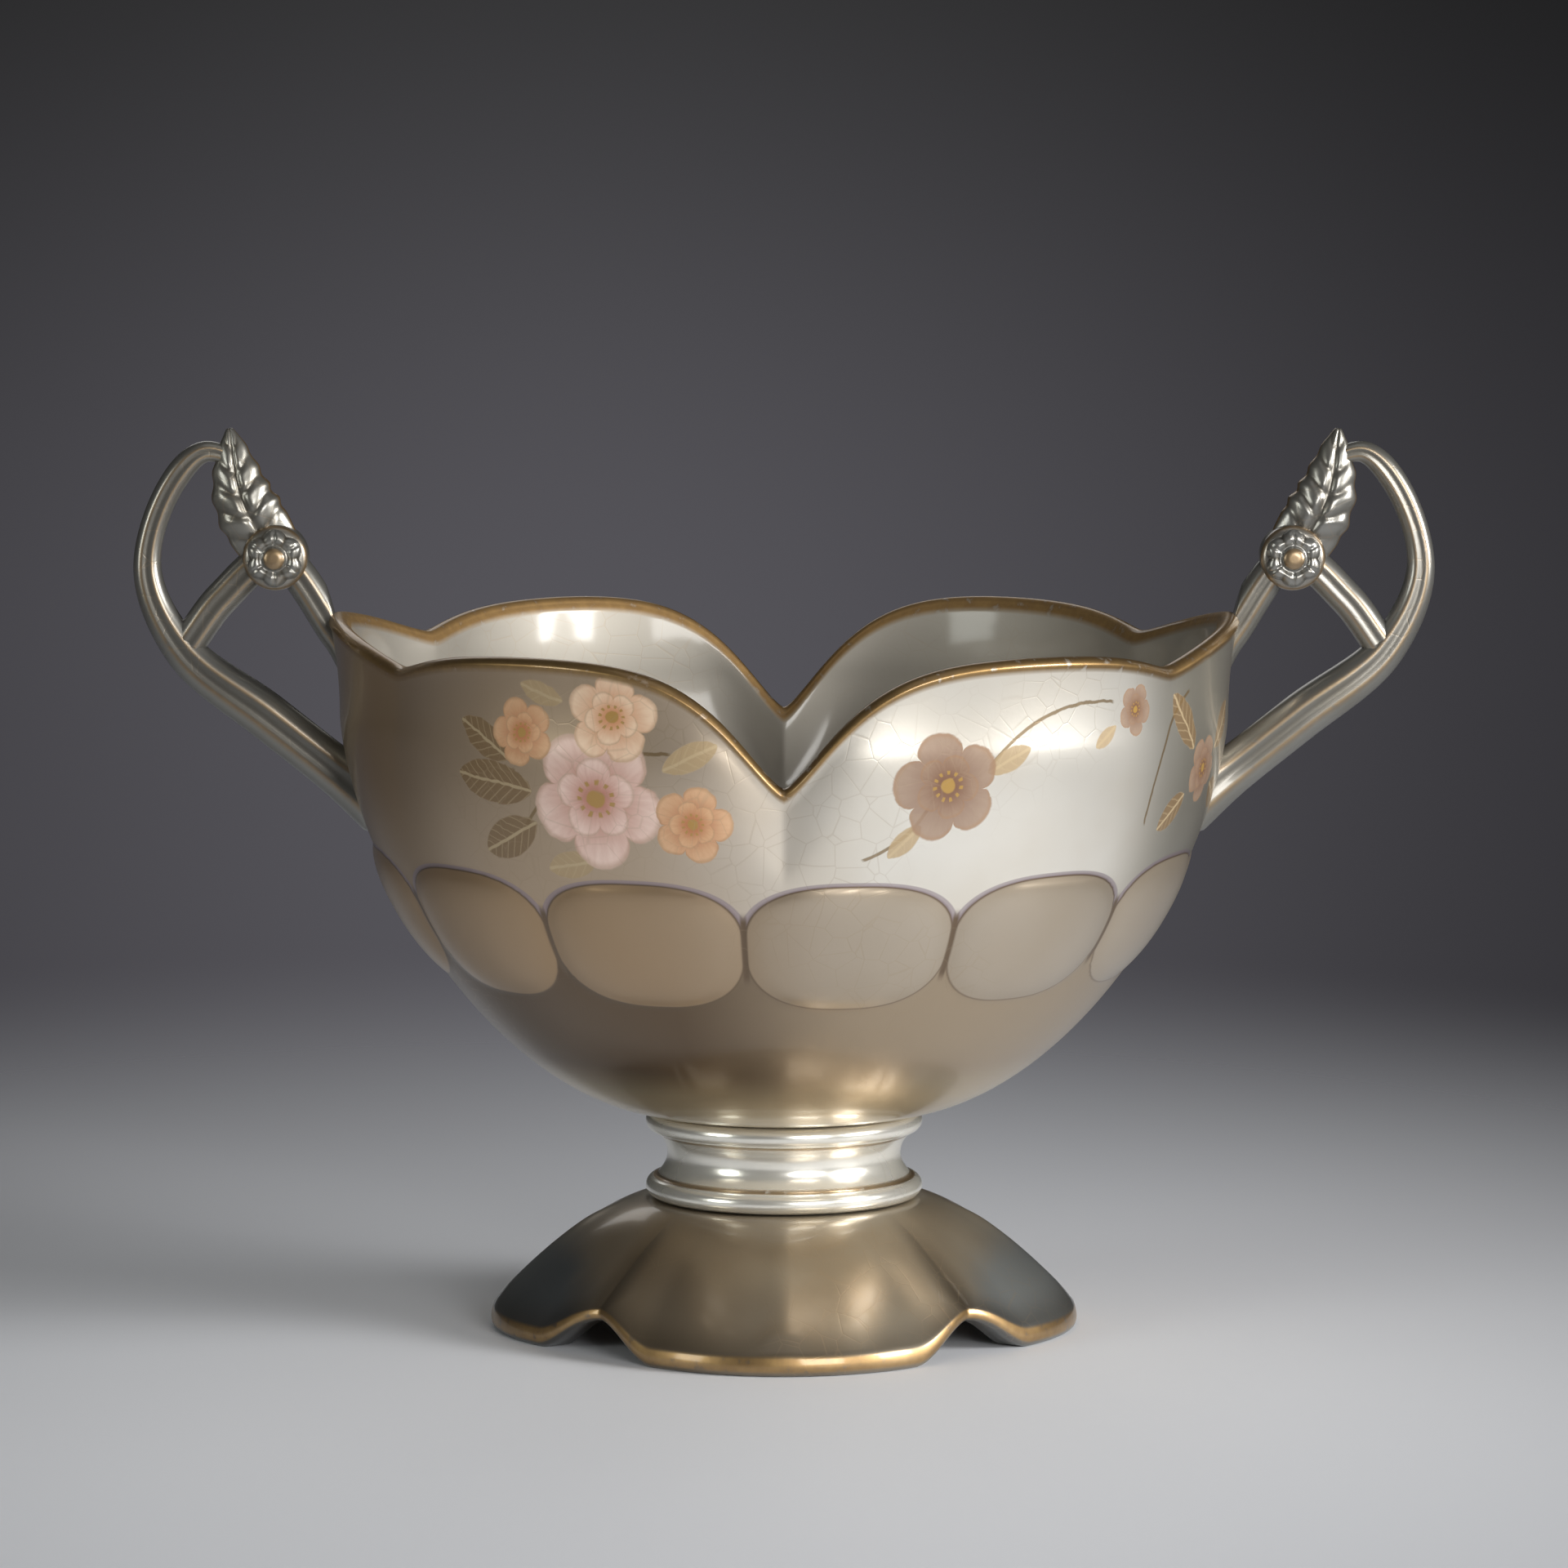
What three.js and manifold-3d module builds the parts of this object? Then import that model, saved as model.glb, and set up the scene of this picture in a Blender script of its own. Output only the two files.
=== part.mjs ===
// A two-handled pedestal bowl in glazed ceramic, in millimetres, standing on z = 0 with +Z up.
// The handles lie along X, and the two deep notches of the rim face front (-Y) and back (+Y).
// Each clay piece is made on its own and stuck to the next with slip, so a thin seam lies between them.
import * as THREE from 'three';
import { mergeVertices } from 'three/addons/utils/BufferGeometryUtils.js';
import Module from 'manifold-3d';

const wasm = await Module();
wasm.setup();
const { clamp, degToRad, euclideanModulo, lerp, smoothstep } = THREE.MathUtils;

const lutingGap = 0.3; // seam of slip between two pieces
const spigotDepth = 5; // how far the bowl and the foot reach into the stem
const drainBore = 24; // hole up through the foot into the hollow stem

// Foot: a dome of four petals, hollow underneath
const footHeight = 30;
const footRadius = 68;
const footEdge = 4; // height of the upright edge at the floor
const edgeRound = 1; // bevel of that edge
const footWall = 6;
const standWidth = 8; // width of the ring that stands on the floor
const petalGroove = 9; // how far the foot draws in between two petals
const archHeight = 8; // height of the opening where two petals part
const archSpread = degToRad(17);
const archFade = 1.5; // how soon the opening dies away up the petals
const footDome = 1.5; // fullness of the dome, outside
const footVault = 2.4; // fullness of the hollow, underneath
const petals = 4;
const footColumns = 56; // facets round the foot
const archCrowding = 0.5; // share by which they crowd towards the openings

// Stem: a short waisted tube between two beads
const stemHeight = 20;
const stemWaist = 27;
const stemBore = 18;
const beadReach = 32; // radius over the beads
const beadSize = 2.4; // radius of a bead's own section
const stemColumns = 36;

// Bowl: a deep rounded cup with an upright wall below a lobed rim
const bowlHeight = 112; // from its seat on the stem to the crest of the rim
const bowlRadius = 102;
const bowlSeat = 30; // radius of the flat underneath
const uprightHeight = 20; // length of the upright wall below the crest
const bowlWall = 4.6;
const bowlFloor = 5;
const floorRadius = 24; // flat of the floor inside
const rimFlare = 2;
const bellyUpright = 1.55; // exponents of the belly's superellipse
const bellyFull = 1.74;

// Rim: deep notches front and back, shallow dips between the lobes, a rise at each handle
const notchDepth = 28;
const notchSpread = degToRad(10);
const notchInset = 4;
const dipDepth = 6;
const dipSpread = degToRad(12);
const dipInset = 3;
const dipAngle = degToRad(60); // from the nearer notch
const sideRise = 3;
const sideSpread = degToRad(20);
const lobeFade = 62; // how far down the wall the lobes die away
const valleyPoint = 1.4; // sharpness of the notches and dips, 2 being round
const rimColumns = 72; // facets round the bowl
const notchCrowding = 0.45; // share by which they crowd towards the notches
const bellySteps = 12;
const wallSteps = 3;
const lipSteps = 6;

// Handles: places measured out from the bowl's radius and up from the crest of the rim
const rootDrop = 37; // where the outer scroll leaves the belly
const rootSink = 7; // how far the ends run into the wall before they are cut to it
const elbowOut = 36;
const elbowUp = -6;
const reachOut = 44;
const reachUp = 12;
const shoulderOut = 39.5;
const shoulderUp = 30;
const crownOut = 31;
const crownUp = 39.5;
const tipOut = 25;
const tipUp = 45;
const bossOut = 14.5;
const bossUp = 15.5;
const armThick = 11; // lower arm of the outer scroll, in the plane of the handle
const loopThick = 6; // upper loop of the outer scroll
const endThick = 4; // where it runs into the leaf
const scrollDepth = 10; // front to back
const armEnds = 0.25; // shares of the scroll's length at which it starts to taper,
const loopStarts = 0.75; // has become the loop,
const loopEnds = 0.85; // and starts to run out
const innerThick = 8;
const strapInset = 1; // how far the strap lies inside the outer scroll, front and back
const bossRadius = 7.6;
const bossDepth = 9.6;
const leafWidth = 15; // widest, in the plane of the handle
const leafDepth = 11;
const leafTip = 1.2; // width left at the point
const leafRoot = 0.3; // share of the swell that lies behind the boss
const leafFull = 0.8; // fullness of the leaf's outline
const leafBow = 0.08; // bend of the leaf, as a share of its length
const leafJoin = 0.75; // share of the leaf's length at which the outer scroll meets it
const handleSides = 12; // facets round a scroll or leaf

// Rosettes: petalled sprigs on both faces of each boss
const rosetteInset = 0.8; // from the edge of the boss
const rosetteHeight = 3.2;
const rosettePetals = 6;
const petalWave = 0.14; // depth of the gaps between petals, as a share of the radius
const petalStart = 0.4; // share of the radius at which the petals part
// Half of a rosette's section, as shares of its radius and height: back, petal, gap, button
const rosetteOutline = [
  [0, 0], [0.94, 0], [1, 0.25], [0.85, 0.55], [0.6, 0.7],
  [petalStart, 0.5], [0.34, 0.8], [0.18, 1], [0, 1],
];

// Levels that follow from the heights
const stemFoot = footHeight + lutingGap;
const stemTop = stemFoot + stemHeight;
const bowlBase = stemTop + lutingGap;
const crest = bowlBase + bowlHeight;
const upright = crest - uprightHeight;
const spigotRadius = stemBore - lutingGap;
const bellyDepth = upright - bowlBase;
const rosetteRadius = bossRadius - rosetteInset;

const faces = { front: -1, back: 1 };
const sides = { left: -1, right: 1 };

const glaze = (color, roughness) => new THREE.MeshStandardMaterial({ color, roughness, metalness: 0 });
const ivory = 0xe2d9c8;
const tan = 0xa88c66;
const pearl = 0xd8d2c4;

const weld = 1e-4; // points closer than this are one

// A closed geometry as a solid that can be cut, and back again
function toSolid(geometry) {
  const bare = geometry.clone();
  bare.deleteAttribute('normal');
  bare.deleteAttribute('uv');
  const merged = mergeVertices(bare, weld);
  const vertProperties = new Float32Array(merged.attributes.position.array);
  const corners = merged.index.array;
  const kept = [];
  for (let i = 0; i < corners.length; i += 3) {
    const [a, b, c] = corners.subarray(i, i + 3);
    if (a !== b && b !== c && c !== a) kept.push(a, b, c); // a turned face closes to a line on the axis
  }
  const triVerts = new Uint32Array(kept);
  return new wasm.Manifold(new wasm.Mesh({ numProp: 3, vertProperties, triVerts }));
}

function toGeometry(solid) {
  const { vertProperties, triVerts } = solid.getMesh();
  const geometry = new THREE.BufferGeometry();
  geometry.setAttribute('position', new THREE.Float32BufferAttribute(vertProperties, 3));
  geometry.setIndex(new THREE.Uint32BufferAttribute(triVerts, 1));
  geometry.computeVertexNormals();
  return geometry;
}

// A profile of [radius, height] turned about Z. The angle runs from the front towards +X,
// and reshape may move each point to another radius, height and angle.
function turn(profile, segments, reshape) {
  const points = profile.map(([r, z]) => new THREE.Vector2(r, z));
  const geometry = new THREE.LatheGeometry(points, segments);
  const position = geometry.attributes.position;
  for (let i = 0; i < position.count; i++) {
    const column = Math.floor(i / points.length);
    const angle = (column % segments) / segments * 2 * Math.PI;
    const { x: r0, y: z0 } = points[i % points.length];
    const { r = r0, z = z0, a = angle } = reshape ? reshape(r0, z0, angle) : {};
    position.setXYZ(i, r * Math.sin(a), -r * Math.cos(a), z);
  }
  geometry.computeVertexNormals();
  return geometry;
}

// A tube along a curve in the plane of the handle, with an oval section that may change on the way
function sweep(curve, steps, sectionAt) {
  const across = new THREE.Vector3(0, 1, 0);
  const vertices = [];
  const index = [];
  for (let i = 0; i <= steps; i++) {
    const t = i / steps;
    const centre = curve.getPointAt(t);
    const normal = new THREE.Vector3().crossVectors(curve.getTangentAt(t), across).normalize();
    const { thick, depth } = sectionAt(t);
    for (let k = 0; k < handleSides; k++) {
      const angle = k / handleSides * 2 * Math.PI;
      const point = centre.clone();
      point.addScaledVector(normal, Math.cos(angle) * thick / 2);
      point.addScaledVector(across, Math.sin(angle) * depth / 2);
      vertices.push(...point);
    }
  }
  const at = (i, k) => i * handleSides + k % handleSides;
  for (let i = 0; i < steps; i++) {
    for (let k = 0; k < handleSides; k++) {
      index.push(at(i, k), at(i + 1, k), at(i + 1, k + 1));
      index.push(at(i, k), at(i + 1, k + 1), at(i, k + 1));
    }
  }
  const start = vertices.length / 3;
  vertices.push(...curve.getPointAt(0), ...curve.getPointAt(1));
  for (let k = 0; k < handleSides; k++) {
    index.push(start, at(0, k), at(0, k + 1));
    index.push(start + 1, at(steps, k + 1), at(steps, k));
  }
  const geometry = new THREE.BufferGeometry();
  geometry.setAttribute('position', new THREE.Float32BufferAttribute(vertices, 3));
  geometry.setIndex(index);
  return geometry;
}

// How far an angle lies from the nearest of a ring of evenly spaced directions
const offFrom = (angle, first, spacing) => {
  const off = euclideanModulo(angle - first + spacing / 2, spacing);
  return Math.abs(off - spacing / 2);
};

// A rounded V that is 1 at its bottom and dies away to either side
const valley = (off, spread) => Math.exp(-((off / spread) ** valleyPoint));

// Foot

function footShape(r, z, angle) {
  const a = angle + archCrowding * Math.sin(petals * angle) / petals;
  const groove = 1 - Math.abs(Math.cos(petals / 2 * a));
  const spread = Math.max(0, (r - beadReach) / (footRadius - beadReach));
  const off = offFrom(a, Math.PI / petals, 2 * Math.PI / petals) / archSpread;
  const arch = off < 1 ? (1 - off * off) ** 2 : 0;
  const low = Math.max(0, 1 - z / footHeight) ** archFade;
  return { r: r - petalGroove * groove * spread, z: z + archHeight * arch * low, a };
}

function makeFoot() {
  const bore = drainBore / 2;
  const profile = [[footRadius - edgeRound, 0], [footRadius, edgeRound], [footRadius, footEdge]];
  const outerSteps = 8;
  for (let i = 1; i <= outerSteps; i++) {
    const s = 1 - i / outerSteps;
    const z = footEdge + (footHeight - footEdge) * (1 - s ** footDome);
    profile.push([beadReach + (footRadius - beadReach) * s, z]);
  }
  profile.push([spigotRadius, footHeight], [spigotRadius, footHeight + spigotDepth]);
  profile.push([bore, footHeight + spigotDepth]);
  const innerSteps = 7;
  for (let i = 0; i <= innerSteps; i++) {
    const s = i / innerSteps;
    const z = (footHeight - footWall) * (1 - s ** footVault);
    profile.push([bore + (footRadius - standWidth - bore) * s, z]);
  }
  profile.push(profile[0]);
  return turn(profile, footColumns, footShape);
}

// Stem

function makeStem() {
  const beadSteps = 4;
  const bead = (level) => Array.from({ length: beadSteps + 1 }, (_, i) => {
    const angle = (i / beadSteps - 0.5) * Math.PI;
    return [beadReach - beadSize + beadSize * Math.cos(angle), level + beadSize * Math.sin(angle)];
  });
  const low = stemFoot + beadSize;
  const high = stemTop - beadSize;
  const profile = [[stemBore, stemFoot], ...bead(low)];
  const waistSteps = 6;
  const neck = beadReach - beadSize;
  for (let i = 1; i < waistSteps; i++) {
    const v = i / waistSteps;
    const z = low + beadSize + (high - low - 2 * beadSize) * v;
    profile.push([stemWaist + (neck - stemWaist) * (2 * v - 1) ** 2, z]);
  }
  profile.push(...bead(high), [stemBore, stemTop], [stemBore, stemFoot]);
  return turn(profile, stemColumns);
}

// Bowl

// Points up the curved belly, from the edge of its flat to where the wall stands upright
function belly(radius, flat, depth) {
  return Array.from({ length: bellySteps + 1 }, (_, i) => {
    const angle = i / bellySteps * Math.PI / 2;
    const out = Math.sin(angle) ** (2 / bellyFull);
    const down = Math.cos(angle) ** (2 / bellyUpright);
    return [flat + (radius - flat) * out, upright - depth * down];
  });
}

// Outside radius of the unlobed wall at a height
function wallRadius(z) {
  if (z >= upright) return bowlRadius + rimFlare * ((z - upright) / uprightHeight) ** 2;
  const down = Math.min(1, (upright - z) / bellyDepth);
  return bowlSeat + (bowlRadius - bowlSeat) * (1 - down ** bellyUpright) ** (1 / bellyFull);
}

function rimShape(r, z, angle) {
  if (r === 0) return {};
  const a = angle - notchCrowding * Math.sin(2 * angle) / 2;
  const fromNotch = offFrom(a, 0, Math.PI);
  const notch = valley(fromNotch, notchSpread);
  const dip = valley(Math.abs(fromNotch - dipAngle), dipSpread);
  const rise = valley(Math.abs(fromNotch - Math.PI / 2), sideSpread);
  const t = clamp((z - crest + lobeFade) / (lobeFade - bowlWall), 0, 1);
  const drop = notchDepth * notch + dipDepth * dip - sideRise * rise;
  const lowered = z - drop * smoothstep(t, 0, 1);
  const shift = t > 0 ? wallRadius(lowered) - wallRadius(z) : 0;
  const inset = (notchInset * notch + dipInset * dip) * t * t;
  return { r: r + shift - inset, z: lowered, a };
}

// The upright wall from the belly to just under the lip, at the given thickness inwards
function uprightWall(inwards) {
  const reach = uprightHeight - bowlWall / 2;
  return Array.from({ length: wallSteps }, (_, i) => {
    const z = upright + reach * (i + 1) / wallSteps;
    return [wallRadius(z) - inwards, z];
  });
}

// The round of the lip, from the outside over the crest
function lip(half) {
  return Array.from({ length: lipSteps - 1 }, (_, i) => {
    const angle = (i + 1) / lipSteps * Math.PI;
    const middle = wallRadius(crest) - bowlWall / 2;
    return [middle + half * Math.cos(angle), crest - bowlWall / 2 + half * Math.sin(angle)];
  });
}

function makeBowl() {
  const inner = belly(bowlRadius - bowlWall, floorRadius, bellyDepth - bowlFloor);
  const profile = [
    [0, bowlBase - spigotDepth],
    [spigotRadius, bowlBase - spigotDepth],
    [spigotRadius, bowlBase],
    ...belly(bowlRadius, bowlSeat, bellyDepth),
    ...uprightWall(0),
    ...lip(bowlWall / 2),
    ...uprightWall(bowlWall).reverse(),
    ...inner.reverse(),
    [0, bowlBase + bowlFloor],
  ];
  return turn(profile, rimColumns, rimShape);
}

// The bowl's outside, filled and grown by the seam, which cuts the handles to sit on it
function bowlSeatCutter() {
  const grow = (points) => points.map(([r, z]) => [r + lutingGap, z]);
  const profile = [
    [0, bowlBase],
    ...grow(belly(bowlRadius, bowlSeat, bellyDepth)),
    ...grow(uprightWall(0)),
    ...lip(bowlWall / 2 + lutingGap),
    [0, crest - bowlWall / 2],
  ];
  return toSolid(turn(profile, rimColumns, rimShape));
}

// Handles, made for the right side and turned about Z for the left

const place = (out, up) => new THREE.Vector3(bowlRadius + out, 0, crest + up);
const through = (...points) => new THREE.CatmullRomCurve3(points, false, 'centripetal');
const boss = place(bossOut, bossUp);
const tip = place(tipOut, tipUp);
const elbow = place(elbowOut, elbowUp);
const shoulder = place(shoulderOut, shoulderUp);
const crown = place(crownOut, crownUp);

function outerScroll(grow) {
  const rootHeight = crest - rootDrop;
  const root = new THREE.Vector3(wallRadius(rootHeight), 0, rootHeight);
  const outwards = elbow.clone().sub(root).normalize();
  const sunk = root.clone().addScaledVector(outwards, -rootSink);
  const middle = root.clone().lerp(elbow, 0.5);
  const end = boss.clone().lerp(tip, leafJoin);
  const curve = through(sunk, middle, elbow, place(reachOut, reachUp), shoulder, crown, end);
  const taper = (arm, t) => {
    const loop = lerp(arm, loopThick, smoothstep(t, armEnds, loopStarts));
    return lerp(loop, endThick, smoothstep(t, loopEnds, 1)) + 2 * grow;
  };
  return sweep(curve, 26, (t) => ({ thick: taper(armThick, t), depth: taper(scrollDepth, t) }));
}

function innerScroll(grow, eyeDepth) {
  const lipEdge = new THREE.Vector3(wallRadius(crest), 0, crest);
  const start = lipEdge.clone().add(new THREE.Vector3(-rootSink, 0, -rootSink));
  const bend = boss.clone().lerp(elbow, 0.5).add(new THREE.Vector3(loopThick / 4, 0, loopThick / 4));
  const curve = through(start, lipEdge, boss, bend, elbow);
  const strapDepth = scrollDepth - 2 * strapInset;
  const strap = sweep(curve, 22, () => ({ thick: innerThick + 2 * grow, depth: strapDepth + 2 * grow }));
  const eye = new THREE.CylinderGeometry(bossRadius + grow, bossRadius + grow, eyeDepth, 2 * handleSides);
  eye.translate(...boss);
  return toSolid(strap).add(toSolid(eye));
}

function thumbLeaf(grow) {
  const span = tip.clone().sub(boss);
  const bow = new THREE.Vector3(span.z, 0, -span.x).multiplyScalar(leafBow);
  const curve = through(boss, boss.clone().lerp(tip, 0.5).add(bow), tip);
  const swell = (t) => Math.sin(Math.PI * lerp(leafRoot, 1, t)) ** leafFull;
  return sweep(curve, 14, (t) => ({
    thick: lerp(leafTip, leafWidth, swell(t)) + 2 * grow,
    depth: lerp(leafTip, leafDepth, swell(t)) + 2 * grow,
  }));
}

function makeHandle() {
  const seat = bowlSeatCutter();
  const outer = toSolid(outerScroll(0));
  const inner = innerScroll(0, bossDepth);
  const overRosettes = bossDepth + 2 * (rosetteHeight + 2 * lutingGap);
  const leaf = toSolid(thumbLeaf(0));
  return {
    outer_scroll: outer.subtract(seat).subtract(toSolid(thumbLeaf(lutingGap))),
    inner_scroll: inner.subtract(seat).subtract(toSolid(outerScroll(lutingGap))),
    thumb_leaf: leaf.subtract(innerScroll(lutingGap, overRosettes)),
  };
}

// A sprig with a flat back at z = 0, its petals spread round a button
function makeRosette() {
  const profile = rosetteOutline.map(([r, z]) => [r * rosetteRadius, z * rosetteHeight]);
  return turn(profile, rosettePetals * 4, (r, z, angle) => {
    const outer = Math.max(0, r / rosetteRadius - petalStart) / (1 - petalStart);
    const gap = 1 - Math.abs(Math.cos(rosettePetals / 2 * angle));
    return { r: r * (1 - petalWave * outer * gap) };
  });
}

const bowl = new THREE.Group();

function add(name, geometry, material, parent = bowl) {
  const mesh = new THREE.Mesh(geometry, material);
  mesh.name = name;
  parent.add(mesh);
  return mesh;
}

add('foot', makeFoot(), glaze(tan, 0.25));
add('stem', makeStem(), glaze(ivory, 0.18));
add('bowl_body', makeBowl(), glaze(ivory, 0.18));

const handlePieces = makeHandle();
for (const [side, sign] of Object.entries(sides)) {
  const handle = new THREE.Group();
  handle.rotation.z = sign < 0 ? Math.PI : 0;
  bowl.add(handle);
  for (const [piece, solid] of Object.entries(handlePieces)) {
    add(`${side}_${piece}`, toGeometry(solid), glaze(pearl, 0.22), handle);
  }
  for (const [face, towards] of Object.entries(faces)) {
    const rosette = add(`${side}_${face}_rosette`, makeRosette(), glaze(ivory, 0.2), handle);
    const away = towards * sign;
    rosette.rotation.x = -away * Math.PI / 2;
    rosette.position.copy(boss).setY(away * (bossDepth / 2 + lutingGap));
  }
}

export default bowl;
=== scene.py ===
import math

import bmesh
import bpy
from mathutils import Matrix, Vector


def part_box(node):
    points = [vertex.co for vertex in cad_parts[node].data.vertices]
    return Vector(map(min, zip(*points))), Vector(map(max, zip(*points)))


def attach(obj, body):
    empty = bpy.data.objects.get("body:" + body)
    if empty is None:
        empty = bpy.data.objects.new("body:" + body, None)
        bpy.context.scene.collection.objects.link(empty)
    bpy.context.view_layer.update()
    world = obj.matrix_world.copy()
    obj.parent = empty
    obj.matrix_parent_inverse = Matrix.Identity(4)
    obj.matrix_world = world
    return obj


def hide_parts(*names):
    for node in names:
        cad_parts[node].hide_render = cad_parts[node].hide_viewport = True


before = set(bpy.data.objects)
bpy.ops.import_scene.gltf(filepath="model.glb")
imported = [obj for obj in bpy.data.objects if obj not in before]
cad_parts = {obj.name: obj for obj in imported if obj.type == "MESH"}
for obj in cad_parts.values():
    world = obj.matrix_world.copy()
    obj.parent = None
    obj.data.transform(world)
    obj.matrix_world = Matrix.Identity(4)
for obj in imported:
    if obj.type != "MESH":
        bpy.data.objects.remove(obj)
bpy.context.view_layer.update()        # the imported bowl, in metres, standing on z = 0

mm = 0.001
weld = 1e-6
seam = 0.3  # slip between two pieces, in millimetres
cornerShare = 0.45  # the most of a side that the rounding of a corner takes up
curveSteps = 40  # fine points between two places on a smooth path
print("frame loaded:", len(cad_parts), "nodes")


# small maths shared by the shapes
def lerp(a, b, t):
    return a + (b - a) * t


def smooth(value, low, high):
    t = min(1.0, max(0.0, (value - low) / (high - low)))
    return t * t * (3 - 2 * t)


def offFrom(angle, first, spacing):
    return abs((angle - first + spacing / 2) % spacing - spacing / 2)


def bump(off, width):
    return math.exp(-((off / width) ** 2))


# a run of points with each corner rounded off
def rounded(points, radius, steps=4):
    run = [points[0]]
    for before, corner, after in zip(points, points[1:], points[2:]):
        corner = Vector(corner)
        ends = []
        for other in (Vector(before), Vector(after)):
            reach = min(radius, cornerShare * (other - corner).length)
            ends.append(corner + (other - corner).normalized() * reach)
        for i in range(steps + 1):
            t = i / steps
            run.append(tuple(ends[0].lerp(corner, t).lerp(corner.lerp(ends[1], t), t)))
    return run + [points[-1]]


# meshes are gathered here as points, faces and painted marks, in millimetres
class Clay:
    def __init__(self):
        self.points = []
        self.faces = []
        self.marks = {"gilt": [], "pool": [], "outer": []}

    def add(self, point, gilt=0.0, pool=0.0, outer=1.0):
        self.points.append(Vector(point))
        for mark, value in (("gilt", gilt), ("pool", pool), ("outer", outer)):
            self.marks[mark].append(value)
        return len(self.points) - 1

    # quads between rings of points, and a fan over each open end
    def skin(self, rings, closed=False, capped=False):
        count = len(rings[0])
        following = rings[1:] + rings[:1] if closed else rings[1:]
        for low, high in zip(rings, following):
            for k in range(count):
                n = (k + 1) % count
                self.faces.append((low[k], low[n], high[n], high[k]))
        if capped:
            for ring in (rings[0], rings[-1]):
                middle = sum((self.points[i] for i in ring), Vector()) / count
                centre = self.add(middle)
                self.faces += [(centre, ring[k], ring[(k + 1) % count]) for k in range(count)]

    def moved(self, change):
        self.points = [change(p) for p in self.points]
        return self

    def joined(self, other):
        start = len(self.points)
        self.points += other.points
        self.faces += [tuple(i + start for i in face) for face in other.faces]
        for mark in self.marks:
            self.marks[mark] += other.marks[mark]
        return self


# makes the mesh of a piece, which takes the place of its CAD node
def fire(clay, node, glaze):
    mesh = bpy.data.meshes.new(node + "_glazed")
    mesh.from_pydata([p * mm for p in clay.points], [], clay.faces)
    for mark, values in clay.marks.items():
        mesh.attributes.new(mark, "FLOAT", "POINT").data.foreach_set("value", values)
    skin = bmesh.new()
    skin.from_mesh(mesh)
    bmesh.ops.remove_doubles(skin, verts=skin.verts, dist=weld)
    bmesh.ops.recalc_face_normals(skin, faces=skin.faces)
    for face in skin.faces:
        face.smooth = True
    skin.to_mesh(mesh)
    skin.free()
    mesh.materials.append(glaze)
    piece = bpy.data.objects.new(mesh.name, mesh)
    bpy.context.scene.collection.objects.link(piece)
    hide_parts(node)
    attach(piece, "root")


# a profile turned about Z: shape(row, angle) gives radius, height, angle and marks
def turned(rows, columns, shape, closed=False):
    clay = Clay()
    rings = []
    for row in rows:
        ring = []
        for k in range(columns):
            r, z, a, marks = shape(row, 2 * math.pi * k / columns)
            ring.append(clay.add((r * math.sin(a), -r * math.cos(a), z), **marks))
        rings.append(ring)
    clay.skin(rings, closed)
    return clay


# shader sockets with plain arithmetic
class Wire:
    def __init__(self, tree, socket):
        self.tree = tree
        self.socket = socket

    def __add__(self, other):
        return self.tree.maths("ADD", self, other)

    def __sub__(self, other):
        return self.tree.maths("SUBTRACT", self, other)

    def __rsub__(self, other):
        return self.tree.maths("SUBTRACT", other, self)

    def __mul__(self, other):
        return self.tree.maths("MULTIPLY", self, other)

    def __truediv__(self, other):
        return self.tree.maths("DIVIDE", self, other)

    def __pow__(self, other):
        return self.tree.maths("POWER", self, other)

    def __abs__(self):
        return self.tree.maths("ABSOLUTE", self)

    __radd__ = __add__
    __rmul__ = __mul__


class Tree:
    def __init__(self, owner):
        owner.use_nodes = True
        self.nodes = owner.node_tree.nodes
        self.links = owner.node_tree.links
        self.nodes.clear()

    def add(self, kind, settings=None, sockets=None, out=0):
        node = self.nodes.new(kind)
        for key, value in (settings or {}).items():
            setattr(node, key, value)
        for key, value in (sockets or {}).items():
            if isinstance(value, Wire):
                self.links.new(value.socket, node.inputs[key])
            else:
                node.inputs[key].default_value = value
        return Wire(self, node.outputs[out]) if node.outputs else None

    def maths(self, operation, *values):
        return self.add("ShaderNodeMath", {"operation": operation}, dict(enumerate(values)))

    def mix(self, share, low, high):
        return self.add("ShaderNodeMix", {"data_type": "RGBA"}, {0: share, 6: low, 7: high}, 2)

    # 0 below low, 1 above high, and the other way round where low is the larger
    def ramp(self, value, low, high):
        return self.add(
            "ShaderNodeMapRange",
            {"interpolation_type": "SMOOTHSTEP"},
            {"Value": value, "From Min": low, "From Max": high},
        )

    def mark(self, name):
        return self.add("ShaderNodeAttribute", {"attribute_name": name}, {}, "Fac")

    def noise(self, where, scale, detail=2.0):
        sockets = {"Vector": where, "Scale": scale, "Detail": detail}
        return self.add("ShaderNodeTexNoise", {}, sockets)

    def split(self, vector):
        return [self.add("ShaderNodeSeparateXYZ", {}, {0: vector}, axis) for axis in "XYZ"]


def tint(red, green, blue):
    return (red, green, blue, 1.0)


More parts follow.
